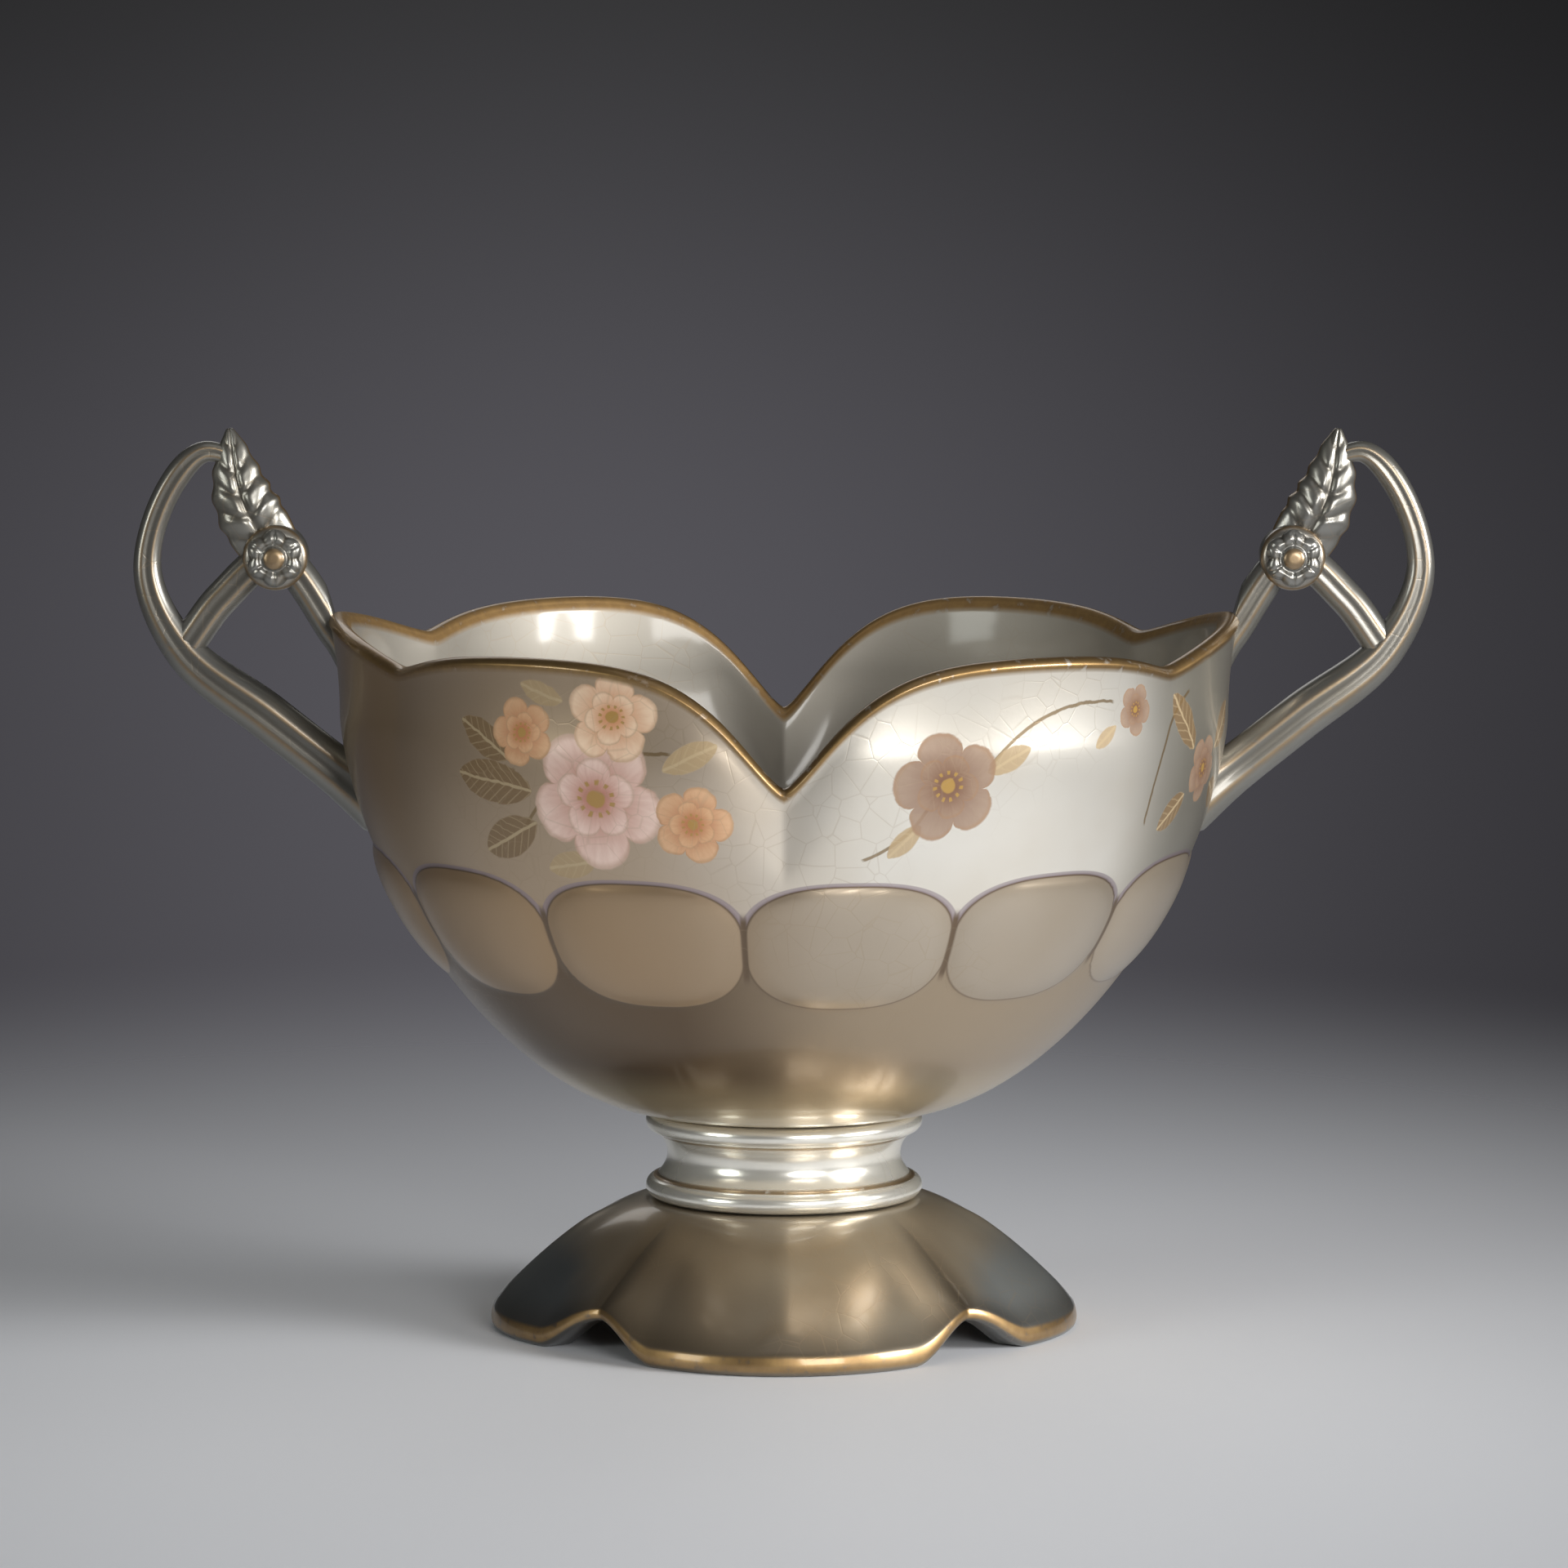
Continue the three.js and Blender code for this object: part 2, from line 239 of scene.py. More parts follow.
# what all the glazes share; each scale counts to the metre
glazeLook = {
    "cloudScale": 26.0,
    "cloudDetail": 3.0,
    "cloudRange": (0.38, 0.68),
    "cloudRough": 0.10,
    "cloudHeight": 0.5,
    "poolLeast": 0.55,
    "poolCloud": 0.4,
    "craze": tint(0.40, 0.30, 0.19),
    "crazeScale": 170.0,
    "crazeWidth": 0.035,
    "crazeShare": 0.22,
    "crazeDepth": 0.06,
    "patchScale": 14.0,
    "patchRange": (0.45, 0.62),
    "gilt": tint(0.46, 0.30, 0.12),
    "giltWorn": tint(0.25, 0.15, 0.07),
    "giltLeast": 0.35,  # what is left of the gilding where it has worn thin
    "giltLustre": 0.9,
    "giltRough": 0.10,
    "wearScale": 420.0,
    "wearDetail": 4.0,
    "wearRange": (0.26, 0.40),
    "speckScale": 900.0,
    "speckHeight": 0.04,
    "bumpStrength": 0.10,
    "bumpDistance": 0.002,
    "coat": 0.6,
    "coatRough": 0.11,
}


# lustre glaze over clay: base colour, a dark tint in hollows and creases that is pooled glaze and
# painted shade, gilding that wears thin
def glaze(name, finish, paint=None):
    look = glazeLook
    material = bpy.data.materials.new(name)
    tree = Tree(material)
    where = tree.add("ShaderNodeTexCoord", {}, {}, "Object")
    cloud = tree.noise(where, look["cloudScale"], look["cloudDetail"])
    color = tree.mix(tree.ramp(cloud, *look["cloudRange"]), finish["base"], finish["warm"])
    lustre = finish["lustre"]
    dull = 0.0
    if paint:
        color, lustre, dull = paint(tree, where, color)
    # this mark darkens hollows, creases and the well: pooled glaze and painted shade
    pooledShade = tree.mark("pool") * (look["poolLeast"] + look["poolCloud"] * cloud)
    color = tree.mix(pooledShade, color, finish["pool"])

    cells = tree.add(
        "ShaderNodeTexVoronoi",
        {"feature": "DISTANCE_TO_EDGE"},
        {"Vector": where, "Scale": look["crazeScale"]},
    )
    patch = tree.ramp(tree.noise(where, look["patchScale"]), *look["patchRange"])
    craze = tree.ramp(cells, look["crazeWidth"], 0.0) * patch
    color = tree.mix(craze * look["crazeShare"], color, look["craze"])

    wear = tree.noise(where, look["wearScale"], look["wearDetail"])
    gilt = tree.mark("gilt") * lerp(look["giltLeast"], 1.0, tree.ramp(wear, *look["wearRange"]))
    gold = tree.mix(wear, look["giltWorn"], look["gilt"])
    color = tree.mix(gilt, color, gold)

    speck = tree.noise(where, look["speckScale"])
    height = cloud * look["cloudHeight"] + speck * look["speckHeight"] - craze * look["crazeDepth"]
    normal = tree.add("ShaderNodeBump", {}, {
        "Height": height,
        "Strength": look["bumpStrength"],
        "Distance": look["bumpDistance"],
    })
    shader = tree.add("ShaderNodeBsdfPrincipled", {}, {
        "Base Color": color,
        "Roughness": finish["rough"] + dull + look["cloudRough"] * cloud + look["giltRough"] * gilt,
        "Metallic": lustre + (look["giltLustre"] - lustre) * gilt,
        "Normal": normal,
        "Coat Weight": look["coat"],
        "Coat Roughness": look["coatRough"],
    })
    tree.add("ShaderNodeOutputMaterial", {}, {"Surface": shader})
    return material


# bowl: a deep cup with a lobed rim, a row of pillows round the belly and painted sprays
bowl = {
    "base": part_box("stem")[1].z / mm + seam,
    "spigot": 17.7,
    "spigotDepth": 5.0,
    "spigotRound": 0.8,
    "height": 112.0,
    "radius": 102.0,
    "seat": 30.0,
    "upright": 20.0,
    "wall": 4.6,
    "floor": 5.0,
    "floorRadius": 24.0,
    "flare": 2.0,
    "bellyUpright": 1.55,
    "bellyFull": 1.74,
    "notchDepth": 28.0,
    "notchSpread": math.radians(10),
    "notchInset": 4.0,
    "dipDepth": 6.0,
    "dipSpread": math.radians(12),
    "dipInset": 3.0,
    "dipAngle": math.radians(60),
    "sideRise": 3.0,
    "sideSpread": math.radians(20),
    "lobeFade": 62.0,
    "valleyPoint": 1.4,
    "crowding": 0.45,  # draws the columns closer together at the notches
    "columns": 400,
    "bellyRows": 120,
    "wallRows": 16,
    "lipRows": 14,
    "lipOuter": 9,  # rows of the lip that count as its outside
    "innerWallRows": 12,
    "innerRows": 50,
    "floorRings": (0.75, 0.5, 0.25, 0),
    "giltWidth": 2.4,
    "giltEdge": 0.5,
    "pillows": 12,
    "pillowTurn": math.radians(9.4),
    "pillowLow": 84.0,
    "pillowHigh": 113.0,
    "pillowRise": 2.4,
    "pillowOval": 2.6,
    "pillowFall": 0.8,
    # painted shade: the inside of the well is darkened from wellRange below the rim
    "wellShade": 0.3,
    "wellRange": (14, 36),  # below the rim, where the inside gets darker
    "glaze": {
        "base": tint(0.87, 0.835, 0.76),
        "warm": tint(0.81, 0.76, 0.67),
        "pool": tint(0.17, 0.15, 0.12),
        "rough": 0.28,
        "lustre": 0.68,
    },
}
crest = bowl["base"] + bowl["height"]
upright = crest - bowl["upright"]
bellyDepth = upright - bowl["base"]


def wallRadius(z):
    if z >= upright:
        return bowl["radius"] + bowl["flare"] * ((z - upright) / bowl["upright"]) ** 2
    down = min(1.0, (upright - z) / bellyDepth)
    share = (1 - down ** bowl["bellyUpright"]) ** (1 / bowl["bellyFull"])
    return lerp(bowl["seat"], bowl["radius"], share)


def valley(off, spread):
    return math.exp(-((off / spread) ** bowl["valleyPoint"]))


# height of a pillow, 0 at its edges and 1 on its back
def pillow(a, z):
    low = bowl["pillowLow"]
    high = bowl["pillowHigh"]
    half = math.pi / bowl["pillows"]
    u = offFrom(a, bowl["pillowTurn"], 2 * half) / half
    v = abs(2 * z - low - high) / (high - low)
    inside = max(0.0, 1 - u ** bowl["pillowOval"] - v ** bowl["pillowOval"])
    return inside ** bowl["pillowFall"]


# lowers the wall along its own curve where the rim has a notch or a dip
def rimShape(row, angle):
    r, z, side = row
    if r == 0:
        return r, z, angle, {"outer": 0.0}
    a = angle - bowl["crowding"] * math.sin(2 * angle) / 2
    fromNotch = offFrom(a, 0, math.pi)
    notch = valley(fromNotch, bowl["notchSpread"])
    dip = valley(abs(fromNotch - bowl["dipAngle"]), bowl["dipSpread"])
    rise = valley(abs(fromNotch - math.pi / 2), bowl["sideSpread"])
    t = min(1.0, max(0.0, (z - crest + bowl["lobeFade"]) / (bowl["lobeFade"] - bowl["wall"])))
    drop = bowl["notchDepth"] * notch + bowl["dipDepth"] * dip - bowl["sideRise"] * rise
    lowered = z - drop * smooth(t, 0, 1)
    shift = wallRadius(lowered) - wallRadius(z) if t > 0 else 0.0
    inset = (bowl["notchInset"] * notch + bowl["dipInset"] * dip) * t * t
    gilt = smooth(crest - z, bowl["giltWidth"] + bowl["giltEdge"], bowl["giltWidth"])
    marks = {"gilt": gilt, "outer": 0.0 if side == "inner" else 1.0}
    if side == "outer":
        shift += bowl["pillowRise"] * pillow(a, lowered)
    # on the inside, the wall is darkened below the rim as painted shade
    if side == "inner":
        marks["pool"] = bowl["wellShade"] * smooth(crest - lowered, *bowl["wellRange"])
    return r + shift - inset, lowered, a, marks


def belly(radius, flat, depth, steps, side):
    run = []
    for i in range(steps + 1):
        angle = i / steps * math.pi / 2
        out = math.sin(angle) ** (2 / bowl["bellyFull"])
        down = math.cos(angle) ** (2 / bowl["bellyUpright"])
        run.append((lerp(flat, radius, out), upright - depth * down, side))
    return run


def upWall(inwards, steps, side):
    reach = bowl["upright"] - bowl["wall"] / 2
    heights = [upright + reach * (i + 1) / steps for i in range(steps)]
    return [(wallRadius(z) - inwards, z, side) for z in heights]


def makeBowl(material):
    half = bowl["wall"] / 2
    low = bowl["base"] - bowl["spigotDepth"]
    under = rounded([(0, low), (bowl["spigot"], low), (bowl["spigot"], bowl["base"]),
                     (bowl["seat"], bowl["base"])], bowl["spigotRound"])
    rows = [(r, z, "under") for r, z in under]
    rows += belly(bowl["radius"], bowl["seat"], bellyDepth, bowl["bellyRows"], "outer")
    rows += upWall(0, bowl["wallRows"], "outer")
    middle = wallRadius(crest) - half
    for i in range(1, bowl["lipRows"]):
        angle = i / bowl["lipRows"] * math.pi
        side = "outer" if i < bowl["lipOuter"] else "inner"
        rows.append((middle + half * math.cos(angle), crest - half + half * math.sin(angle), side))
    rows += upWall(bowl["wall"], bowl["innerWallRows"], "inner")[::-1]
    inner = bowl["radius"] - bowl["wall"]
    depth = bellyDepth - bowl["floor"]
    rows += belly(inner, bowl["floorRadius"], depth, bowl["innerRows"], "inner")[::-1]
    top = bowl["base"] + bowl["floor"]
    rows += [(bowl["floorRadius"] * share, top, "inner") for share in bowl["floorRings"]]
    fire(turned(rows, bowl["columns"], rimShape), "bowl_body", material)


# paint on the bowl
spray = {
    "reach": 99.0,  # radius at which the paint is laid out, in millimetres
    "wobbles": ((90.0, 1.2), (520.0, 0.7)),  # scale and reach of the brush's unsteadiness
    "line": tint(0.36, 0.20, 0.10),
    "stalk": tint(0.27, 0.18, 0.08),
    "leaf": tint(0.20, 0.125, 0.055),
    "leafPale": tint(0.43, 0.31, 0.17),
    "vein": tint(0.56, 0.44, 0.27),
    "peach": (tint(0.68, 0.32, 0.16), tint(0.93, 0.69, 0.49)),
    "orange": (tint(0.52, 0.20, 0.08), tint(0.74, 0.45, 0.25)),
    "pink": (tint(0.54, 0.24, 0.18), tint(0.92, 0.69, 0.60)),
    "rose": (tint(0.20, 0.10, 0.06), tint(0.34, 0.23, 0.16)),
    "heart": tint(0.44, 0.27, 0.07),
    # angle in degrees, height, size, petals, turn, colours
    "blossoms": (
        (-24, 132, 16.0, 5, 0.3, "pink"),
        (-21.5, 150, 10.5, 5, 1.1, "peach"),
        (-11.5, 127, 9.0, 5, 0.0, "orange"),
        (-34, 146, 8.0, 5, 0.6, "orange"),
        (20.5, 135, 12.5, 5, 0.7, "rose"),
        (50, 149, 6.0, 5, 0.2, "rose"),
        (70, 133, 8.0, 5, 0.2, "rose"),
    ),
    # the dark leaves far left and far right of the front also paint shade there
    # angle, height of the stalk end, length, width, slope in degrees, colour
    "leaves": (
        (-33, 133, 21.0, 5.2, 172, "leaf"),
        (-33, 126, 18.0, 4.6, 205, "leaf"),
        (-36, 140, 16.0, 4.0, 150, "leaf"),
        (-25, 118, 13.0, 3.4, 190, "leafPale"),
        (-15, 139, 13.0, 3.2, 25, "leafPale"),
        (-28, 153, 11.0, 2.8, 160, "leafPale"),
        (26, 138, 11.0, 2.8, 25, "leafPale"),
        (17.5, 126.5, 10.0, 2.6, 225, "leafPale"),
        (46, 146, 8.0, 2.0, 215, "leafPale"),
        (66, 138, 16.0, 4.0, 125, "leaf"),
        (74, 137, 15.0, 3.8, 40, "leaf"),
        (75, 129, 14.0, 3.6, -25, "leaf"),
        (65, 128, 13.0, 3.4, 215, "leaf"),
    ),
    # angle, height, length, bow, slope
    "stalks": (
        (-36, 122, 44.0, 6.0, 28),
        (10, 119, 26.0, -4.0, 50),
        (55, 122, 34.0, 5.0, 60),
        (26, 139, 36.0, 5.0, 20),
    ),
}
blossomBrush = {
    "rings": (1.0, 0.6),  # reach of the outer and the inner petals
    "cleft": 0.66,  # how far out two petals part
    "edge": 0.95,
    "cover": 0.92,
    "paleFrom": 0.15,
    "pale": 0.3,
    "paleMiddle": 0.4,
    "paleStreaks": 0.6,
    "streaksRound": 5.0,
    "streaksOut": 1.5,
    "streakScale": 2.2,
    "streakDetail": 3.0,
    "rim": (0.86, 0.97),
    "rimShare": 0.45,
    "stamens": 11.0,
    "stamenSize": (0.1, 0.6),
    "stamenRing": 0.24,
    "stamenWidth": (0.05, 0.02),
    "heart": (0.15, 0.11),
    "heartShare": 0.9,
}
leafBrush = {
    "point": 0.7,
    "swell": 2.6,
    "edge": 0.45,
    "tip": 0.6,
    "cover": 0.9,
    "ribs": 2.6,
    "ribSize": (0.72, 0.96),
    "ribShare": 0.28,
    "midrib": (0.45, 0.2),
    "midribShare": 0.7,
}
stalkBrush = {
    "width": (0.55, 0.25),
    "ends": (0.5, 0.47),
    "cover": 0.85,
}


# each flower has an outer and an inner ring of petals round a ring of stamens
def paintBlossom(tree, ground, cover, along, up, size, petals, turn, shades):
    brush = blossomBrush
    off = (along ** 2 + up ** 2) ** 0.5 / size
    around = tree.maths("ARCTAN2", up, along) + turn
    grain = tree.add("ShaderNodeCombineXYZ", {}, {
        0: around * brush["streaksRound"],
        1: off * brush["streaksOut"],
        2: size,
    })
    streaks = tree.noise(grain, brush["streakScale"], brush["streakDetail"])
    color = ground
    for ring, reach in enumerate(brush["rings"]):
        turns = (around + ring * math.pi / petals) * (petals / 2)
        scallop = abs(tree.maths("COSINE", turns))
        inside = off / (reach * lerp(brush["cleft"], 1.0, scallop ** 0.5))
        petal = tree.ramp(inside, 1.0, brush["edge"])
        pale = brush["pale"] + brush["paleMiddle"] * scallop + brush["paleStreaks"] * streaks
        pale = tree.ramp(inside, brush["paleFrom"], brush["edge"]) * pale
        color = tree.mix(petal * brush["cover"], color, tree.mix(pale, *shades))
        rim = tree.ramp(inside, *brush["rim"]) * petal
        color = tree.mix(rim * brush["rimShare"], color, spray["line"])
        if ring == 0:
            cover = tree.maths("MAXIMUM", cover, petal)
    dots = tree.ramp(tree.maths("COSINE", around * brush["stamens"]), *brush["stamenSize"])
    dots = dots * tree.ramp(abs(off - brush["stamenRing"]), *brush["stamenWidth"])
    heart = (dots + tree.ramp(off, *brush["heart"])) * brush["heartShare"]
    return tree.mix(heart, color, spray["heart"]), cover


def turnedBy(along, up, slope):
    c = math.cos(math.radians(slope))
    s = math.sin(math.radians(slope))
    return along * c + up * s, up * c - along * s


def paintLeaf(tree, ground, cover, along, up, length, width, slope, shade):
    brush = leafBrush
    run, side = turnedBy(along, up, slope)
    out = run / length
    side = abs(side)
    swell = tree.maths("MAXIMUM", out * (1 - out), 0.0)
    half = swell ** brush["point"] * (brush["swell"] * width)
    leaf = tree.ramp(half - side, 0.0, brush["edge"]) * tree.ramp(half, 0.0, brush["tip"])
    ribs = tree.maths("COSINE", (run - side) * brush["ribs"])
    ribs = tree.ramp(ribs, *brush["ribSize"]) * brush["ribShare"]
    midrib = tree.ramp(side, *brush["midrib"]) * brush["midribShare"]
    vein = tree.maths("MAXIMUM", ribs, midrib) * leaf
    color = tree.mix(leaf * brush["cover"], ground, shade)
    return tree.mix(vein, color, spray["vein"]), tree.maths("MAXIMUM", cover, leaf)


def paintStalk(tree, ground, along, up, length, bow, slope):
    brush = stalkBrush
    run, side = turnedBy(along, up, slope)
    out = run / length
    line = tree.ramp(abs(side - out * (1 - out) * (4 * bow)), *brush["width"])
    line = line * tree.ramp(abs(out - 0.5), *brush["ends"])
    return tree.mix(line * brush["cover"], ground, spray["stalk"])


# tints of the wall, of the band of pillows and of what is below it
zones = {
    # the blush, browner and darker left of the front, is blush ground and painted shade
    "blush": tint(0.40, 0.245, 0.112),
    "blushShare": 0.72,
    "blushRange": (0.5, -0.8),
    # painted shade: olive darkening at both sides, turned away from the front
    "olive": tint(0.30, 0.28, 0.23),
    "oliveShare": 0.9,
    "oliveRange": (-0.05, -0.7),
    "band": tint(0.51, 0.445, 0.365),
    "bandWarm": tint(0.45, 0.37, 0.275),
    "bandScale": 40.0,
    "bandEdge": (0.45, 1.0),
    "bandEdgeShare": 0.35,
    # painted shade: the seam colour darkens the pillows' outlines and the clefts between them
    "seam": tint(0.17, 0.115, 0.07),
    "seamRange": (0.93, 1.0),
    "cleft": (0.955, 0.985),  # painted shade between two pillows
    "cleftEnds": (0.62, 0.42),
    "brown": tint(0.39, 0.305, 0.21),
    # umber: the low zone's painted shade left of the front
    "umber": tint(0.14, 0.09, 0.048),
    "umberShare": 1.5,
    "gold": tint(0.62, 0.51, 0.34),
    "goldRange": (68.0, 56.0),  # heights between which gold takes over, partly a painted reflection of the floor
    "violet": tint(0.34, 0.27, 0.31),
    "violetAt": 1.09,
    "violetWidth": (0.10, 0.05),
    "violetShare": 0.7,
    "underEdge": (1.04, 0.96),
    "overEdge": (1.10, 1.0),
    "halfway": 0.5,  # either side of the band's middle, in millimetres
    # painted shade: the inside is a darker copy of the outside's ivory
    "inside": tint(0.43, 0.40, 0.35),
    "insideLustre": 0.72,
    "insideRough": 0.26,
    "enamel": 0.5,  # how far the painted flowers dull the lustre
}


# angle round the axis from the front
def aroundAxis(tree, x, y):
    return tree.maths("ARCTAN2", x, 0 - y)


# a painted shade that comes and goes twice round: by sine left of the front, by cosine at the sides
def twiceRound(tree, angle, wave, limits):
    return tree.ramp(tree.maths(wave, angle * 2), *limits)


def paintBowl(tree, where, ground):
    x, y, z = [part / mm for part in tree.split(where)]
    outer = tree.mark("outer")
    angle = aroundAxis(tree, x, y)
    # painted shade: darker and browner left of the front
    blush = twiceRound(tree, angle, "SINE", zones["blushRange"]) * zones["blushShare"]
    # painted shade at both sides
    besideShade = twiceRound(tree, angle, "COSINE", zones["oliveRange"]) * zones["oliveShare"]
    folded = tree.maths("WRAP", angle, math.pi / 2, -math.pi / 2)
    slow, quick = [(tree.noise(where, scale) - 0.5) * reach for scale, reach in spray["wobbles"]]
    wobble = slow + quick

    def onWall(at, height):
        return (folded - math.radians(at)) * spray["reach"] + wobble, z - height + wobble

    color = tree.mix(besideShade, ground, zones["olive"])
    color = tree.mix(blush, color, zones["blush"])
    cover = 0 * z
    for at, height, *rest in spray["stalks"]:
        color = paintStalk(tree, color, *onWall(at, height), *rest)
    for at, height, *rest, shade in spray["leaves"]:
        color, cover = paintLeaf(tree, color, cover, *onWall(at, height), *rest, spray[shade])
    for at, height, *rest, shades in spray["blossoms"]:
        color, cover = paintBlossom(tree, color, cover, *onWall(at, height), *rest, spray[shades])

    # the band: ovals with painted shade towards their edges and in the seams between them
    half = math.pi / bowl["pillows"]
    middle = (bowl["pillowLow"] + bowl["pillowHigh"]) / 2
    tall = (bowl["pillowHigh"] - bowl["pillowLow"]) / 2
    u = abs(tree.maths("WRAP", angle - bowl["pillowTurn"], half, -half)) / half
    v = abs(z - middle) / tall
    oval = u ** bowl["pillowOval"] + v ** bowl["pillowOval"]
    band = tree.mix(tree.noise(where, zones["bandScale"]), zones["band"], zones["bandWarm"])
    edge = tree.ramp(oval, *zones["bandEdge"]) * zones["bandEdgeShare"]
    band = tree.mix(edge, band, zones["brown"])
    band = tree.mix(blush, band, zones["blush"])
    band = tree.mix(tree.ramp(oval, *zones["seamRange"]), band, zones["seam"])
    low = tree.mix(blush * zones["umberShare"], zones["brown"], zones["umber"])
    low = tree.mix(tree.ramp(z, *zones["goldRange"]), low, zones["gold"])
    under = tree.mix(tree.ramp(oval, *zones["underEdge"]), low, band)
    over = tree.mix(tree.ramp(oval, *zones["overEdge"]), color, band)
    outline = tree.ramp(abs(oval - zones["violetAt"]), *zones["violetWidth"])
    over = tree.mix(outline * zones["violetShare"], over, zones["violet"])
    upper = tree.ramp(z, middle - zones["halfway"], middle + zones["halfway"])
    color = tree.mix(upper, under, over)
    between = tree.ramp(u, *zones["cleft"]) * tree.ramp(v, *zones["cleftEnds"])
    color = tree.mix(between, color, zones["seam"])

    lustre = lerp(zones["insideLustre"], bowl["glaze"]["lustre"], outer)
    lustre = lustre - cover * outer * zones["enamel"]
    return tree.mix(outer, zones["inside"], color), lustre, zones["insideRough"] * (1 - outer)


# stem: a short waisted tube between two beads
stem = {
    "low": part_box("stem")[0].z / mm,
    "high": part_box("stem")[1].z / mm,
    "waist": 27.0,
    "bore": 18.0,
    "beadReach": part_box("stem")[1].x / mm,
    "beadSize": 2.4,
    "beadRows": 16,
    "waistRows": 24,
    "columns": 160,
    "giltLine": (0.9, 0.5),
    "giltShare": 0.9,
    "glaze": {
        "base": tint(0.91, 0.89, 0.82),
        "warm": tint(0.83, 0.80, 0.70),
        "pool": tint(0.26, 0.19, 0.11),
        "rough": 0.18,
        "lustre": 0.70,
    },
}


def makeStem(material):
    size = stem["beadSize"]
    neck = stem["beadReach"] - size
    low = stem["low"] + size
    high = stem["high"] - size
    rows = [(stem["bore"], stem["low"])]

    def bead(level):
        for i in range(stem["beadRows"] + 1):
            angle = (i / stem["beadRows"] - 0.5) * math.pi
            rows.append((neck + size * math.cos(angle), level + size * math.sin(angle)))

    bead(low)
    for i in range(1, stem["waistRows"]):
        v = i / stem["waistRows"]
        z = low + size + (high - low - 2 * size) * v
        rows.append((lerp(stem["waist"], neck, (2 * v - 1) ** 2), z))
    bead(high)
    rows.append((stem["bore"], stem["high"]))

    # a gilt line where each bead meets the waist
    def shape(row, angle):
        r, z = row
        off = min(math.hypot(r - neck, z - low - size), math.hypot(r - neck, z - high + size))
        return r, z, angle, {"gilt": stem["giltShare"] * smooth(off, *stem["giltLine"])}

    fire(turned(rows, stem["columns"], shape, closed=True), "stem", material)


# foot: a hollow dome of four petals, ribbed down the middle
foot = {
    "height": stem["low"] - seam,
    "radius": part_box("foot")[1].x / mm,
    "edge": 4.0,
    "edgeUnder": 0.6,
    "edgeOver": 0.4,
    "edgeRound": 1.6,
    "wall": 6.0,
    "stand": 8.0,
    "bore": 12.0,
    "shelf": 2.0,
    "groove": 9.0,
    "archHeight": 8.0,
    "archSpread": math.radians(17),
    "archFade": 1.5,
    "dome": 1.5,
    "vault": 2.4,
    "petals": 4,
    "crowding": 0.5,  # draws the columns closer together at the arches
    "columns": 288,
    "domeRows": 48,
    "vaultRows": 33,
    "ribRise": 0.9,
    "ribWidth": math.radians(5),
    "ribFoot": (3, 9),
    "ribTop": 7,
    "giltShare": 0.9,
    "giltTop": (4.8, 4.2),
    "giltLow": (0.8, 1.4),
    "groovePool": (0.75, 1.0),
    "edgePool": (12, 4),
    "edgePoolShare": 0.7,
    "blush": tint(0.22, 0.155, 0.09),
    "blushShare": 0.6,
    "dark": tint(0.13, 0.14, 0.145),
    "grey": tint(0.26, 0.29, 0.30),
    "greyShare": 0.8,
    "darkSide": (38.0, 50.0),
    "darkHigh": (26.0, 16.0),
    "cloudScale": 60.0,
    "cloudReach": 9.0,
    "cloudRise": 0.4,
    "glaze": {
        "base": tint(0.43, 0.375, 0.29),
        "warm": tint(0.35, 0.285, 0.20),
        "pool": tint(0.05, 0.035, 0.02),
        "rough": 0.26,
        "lustre": 0.65,
    },
}


def footShape(row, angle):
    r, z, outside = row
    petals = foot["petals"]
    a = angle + foot["crowding"] * math.sin(petals * angle) / petals
    groove = 1 - abs(math.cos(petals / 2 * a))
    spread = max(0.0, (r - stem["beadReach"]) / (foot["radius"] - stem["beadReach"]))
    off = offFrom(a, math.pi / petals, 2 * math.pi / petals) / foot["archSpread"]
    arch = (1 - off * off) ** 2 if off < 1 else 0.0
    low = max(0.0, 1 - z / foot["height"]) ** foot["archFade"]
    lift = foot["archHeight"] * arch * low
    marks = {"outer": outside}
    if outside:
        middle = offFrom(a, 0, 2 * math.pi / petals)
        ribTop = foot["height"] - foot["ribTop"]
        onDome = smooth(z, *foot["ribFoot"]) * smooth(z, foot["height"], ribTop)
        lift += foot["ribRise"] * bump(middle, foot["ribWidth"]) * onDome
        gilt = smooth(z, *foot["giltTop"]) * smooth(z, *foot["giltLow"])
        edgePool = foot["edgePoolShare"] * smooth(z, *foot["edgePool"])
        marks["gilt"] = foot["giltShare"] * gilt
        # painted shade: darker in the grooves between the petals and low down by the floor
        marks["pool"] = max(smooth(groove, *foot["groovePool"]) * spread, edgePool)
    return r - foot["groove"] * groove * spread, z + lift, a, marks


# bronze, with painted shade left of the front; low down at the sides it is dark, near black at the
# left end as painted shade and grey at the right end as a painted reflection of the floor
def paintFoot(tree, where, ground):
    x, y, z = [part / mm for part in tree.split(where)]
    wobble = (tree.noise(where, foot["cloudScale"]) - 0.5) * foot["cloudReach"]
    blush = twiceRound(tree, aroundAxis(tree, x, y), "SINE", zones["blushRange"])
    color = tree.mix(blush * foot["blushShare"], ground, foot["blush"])
    side = tree.ramp(abs(x) + wobble, *foot["darkSide"])
    low = tree.ramp(z + wobble * foot["cloudRise"], *foot["darkHigh"])
    # painted shade at the left end, painted floor reflection at the right end
    shade = tree.mix(blush, foot["grey"], foot["dark"])
    share = side * low * lerp(foot["greyShare"], 1.0, blush)
    return tree.mix(share, color, shade), foot["glaze"]["lustre"], 0.0


